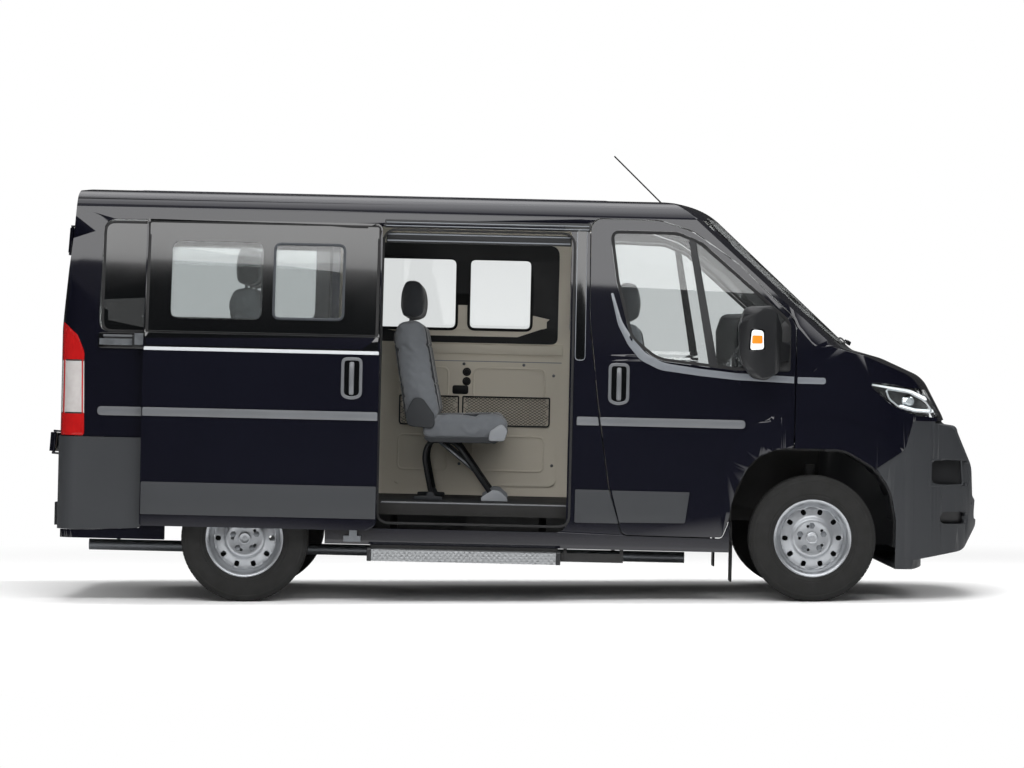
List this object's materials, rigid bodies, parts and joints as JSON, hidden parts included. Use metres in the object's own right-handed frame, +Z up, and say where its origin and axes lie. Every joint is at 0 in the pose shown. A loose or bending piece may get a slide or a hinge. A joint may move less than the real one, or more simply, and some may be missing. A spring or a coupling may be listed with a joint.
{
  "type": "minibus",
  "caption": "Passenger van with a low roof, an open sliding side door with a step, hinged front and rear doors, bonnet, steering and turning wheels.",
  "frame": {"origin": "on the ground under the middle of the vehicle's box", "axes": "+X towards the front, +Y to the vehicle's left, +Z up"},
  "size_m": [5.0001, 2.508, 2.4104],
  "materials": {
    "paint": "gloss, very dark blue",
    "bumper_plastic": "grained dark grey",
    "glass": "clear",
    "lamp": "clear over chrome",
    "tail_lamp": "red and clear",
    "rubber": "matt",
    "tyre": "matt",
    "wheel_steel": "silver",
    "iron": "black",
    "steel": "plain",
    "engine": "cast",
    "trim": "beige, grained",
    "floor": "with dark rubber mat",
    "dash": "grained",
    "seat": "woven, charcoal",
    "step": "tread plate"
  },
  "bodies": {
    "root": {"body_side_right": "paint", "body_side_left": "paint", "roof_panel": "paint", "front_wings": "paint", "bulkhead": "bumper_plastic", "headlamps": "lamp", "front_bumper": "bumper_plastic", "front_grille": "bumper_plastic", "windscreen": "glass", "side_glass": "glass", "sliding_door": "paint", "sliding_door_glass": "glass", "door_rails": "steel", "tail_lamps": "tail_lamp", "rear_bumper": "bumper_plastic", "floor_pan": "floor", "wheel_arch_liners": "bumper_plastic", "front_seats": "seat", "second_row_bench": "seat", "third_row_bench": "seat", "dashboard": "dash", "side_trim": "trim", "engine_block": "engine", "front_subframe": "iron", "rear_axle": "iron", "fuel_tank": "bumper_plastic", "exhaust": "steel", "step_housing": "iron", "mud_flaps": "rubber", "aerial": "rubber"},
    "front_door_right": {"front_door_right": "paint", "front_glass_right": "glass", "mirror_right": "bumper_plastic"},
    "front_door_left": {"front_door_left": "paint", "front_glass_left": "glass", "mirror_left": "bumper_plastic"},
    "rear_door_right": {"rear_door_right": "paint", "rear_glass_right": "glass"},
    "rear_door_left": {"rear_door_left": "paint", "rear_glass_left": "glass"},
    "bonnet": {"bonnet": "paint"},
    "steering_wheel": {"steering_wheel": "dash"},
    "side_step": {"side_step": "step"},
    "knuckle_right": {"knuckle_right": "iron"},
    "knuckle_left": {"knuckle_left": "iron"},
    "wheel_front_right": {"rim_front_right": "wheel_steel", "tyre_front_right": "tyre"},
    "wheel_front_left": {"rim_front_left": "wheel_steel", "tyre_front_left": "tyre"},
    "wheel_rear_right": {"rim_rear_right": "wheel_steel", "tyre_rear_right": "tyre"},
    "wheel_rear_left": {"rim_rear_left": "wheel_steel", "tyre_rear_left": "tyre"}
  },
  "joints": [
    {"name": "front_door_right_hinge", "type": "hinge", "parent": "root", "child": "front_door_right", "pos_m": [1.46232, -1.018, 0.96707], "axis": [0.0227, 0, 0.9997], "range_deg": [0, 70]},
    {"name": "front_door_left_hinge", "type": "hinge", "parent": "root", "child": "front_door_left", "pos_m": [1.46232, 1.018, 0.96707], "axis": [-0.0227, 0, -0.9997], "range_deg": [0, 70]},
    {"name": "rear_door_right_hinge", "type": "hinge", "parent": "root", "child": "rear_door_right", "pos_m": [-2.42504, -0.8, 1.38529], "axis": [0.0858, 0, 0.9963], "range_deg": [0, 180]},
    {"name": "rear_door_left_hinge", "type": "hinge", "parent": "root", "child": "rear_door_left", "pos_m": [-2.42504, 0.8, 1.38529], "axis": [-0.0858, 0, -0.9963], "range_deg": [0, 180]},
    {"name": "bonnet_hinge", "type": "hinge", "parent": "root", "child": "bonnet", "pos_m": [1.83684, 0, 1.33867], "axis": [0, -1, 0], "range_deg": [0, 60]},
    {"name": "steer_right", "type": "hinge", "parent": "root", "child": "knuckle_right", "pos_m": [1.551, -0.765, 0.334], "axis": [0, 0, 1], "range_deg": [-35, 35]},
    {"name": "steer_left", "type": "hinge", "parent": "root", "child": "knuckle_left", "pos_m": [1.551, 0.765, 0.334], "axis": [0, 0, 1], "range_deg": [-35, 35]},
    {"name": "steering_wheel_turn", "type": "hinge", "parent": "root", "child": "steering_wheel", "pos_m": [1.07764, 0.5, 1.20586], "axis": [-0.4493, 0, 0.8934], "range_deg": [-540, 540]},
    {"name": "wheel_front_right_spin", "type": "hinge", "parent": "knuckle_right", "child": "wheel_front_right", "pos_m": [1.551, -0.905, 0.334], "axis": [0, 1, 0], "continuous": true},
    {"name": "wheel_front_left_spin", "type": "hinge", "parent": "knuckle_left", "child": "wheel_front_left", "pos_m": [1.551, 0.905, 0.334], "axis": [0, 1, 0], "continuous": true},
    {"name": "wheel_rear_right_spin", "type": "hinge", "parent": "root", "child": "wheel_rear_right", "pos_m": [-1.449, -0.895, 0.334], "axis": [0, 1, 0], "continuous": true},
    {"name": "wheel_rear_left_spin", "type": "hinge", "parent": "root", "child": "wheel_rear_left", "pos_m": [-1.449, 0.895, 0.334], "axis": [0, 1, 0], "continuous": true},
    {"name": "side_step_slide", "type": "slide", "parent": "root", "child": "side_step", "axis": [0, 1, 0], "range_m": [0, 0.2]}
  ],
  "couplings": [
    {"joint": "steer_left", "follows": "steer_right", "ratio": 1},
    {"joint": "steering_wheel_turn", "follows": "steer_right", "ratio": 15.429}
  ]
}
